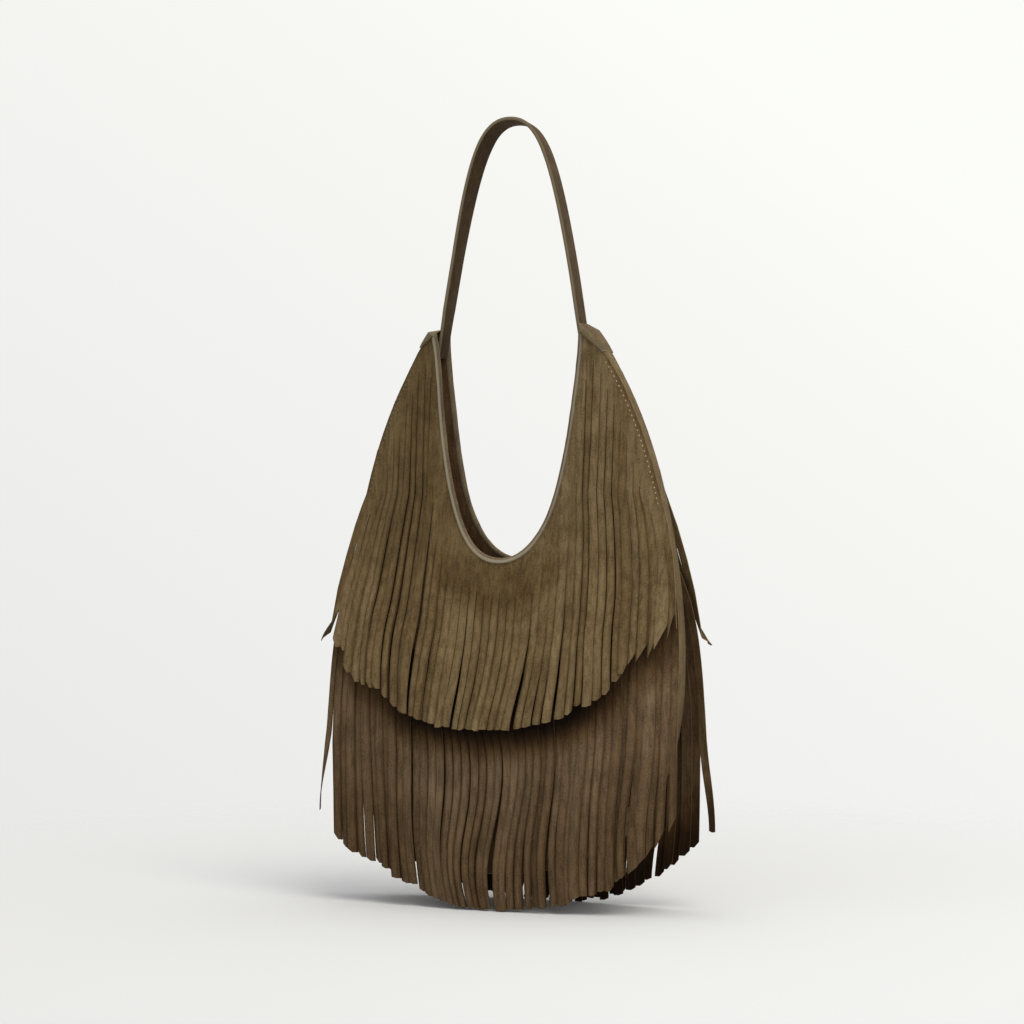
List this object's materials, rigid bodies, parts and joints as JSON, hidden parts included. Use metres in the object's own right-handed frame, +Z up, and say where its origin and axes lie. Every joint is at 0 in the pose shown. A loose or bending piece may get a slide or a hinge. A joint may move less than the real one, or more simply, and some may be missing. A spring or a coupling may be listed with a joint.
{
  "type": "fringed suede shoulder bag",
  "caption": "Soft suede shoulder bag with a deep scooped mouth, one arched strap and two tiers of long cut fringe on the front and back.",
  "frame": {"origin": "on the standing surface, midway between the hems of the front and back fringe", "axes": "+Z up along the bag's height, front face towards -Y, +X to the right seen from the front"},
  "size_m": [0.3188, 0.1, 0.6691],
  "materials": {
    "fringe_suede": "matte olive brown split suede, napped",
    "body_suede": "matte dark brown suede",
    "strap_suede": "close napped suede on both faces with painted edges",
    "edge_binding": "smooth bound edge, dull"
  },
  "bodies": {
    "root": {"front_panel": "body_suede", "back_panel": "body_suede", "gusset_left": "body_suede", "gusset_right": "body_suede", "base_panel": "body_suede", "front_upper_fringe": "fringe_suede", "back_upper_fringe": "fringe_suede", "front_lower_fringe": "fringe_suede", "back_lower_fringe": "fringe_suede", "front_rim_binding": "edge_binding", "back_rim_binding": "edge_binding", "strap": "strap_suede", "strap_tab_left": "strap_suede", "strap_tab_right": "strap_suede"}
  },
  "joints": []
}
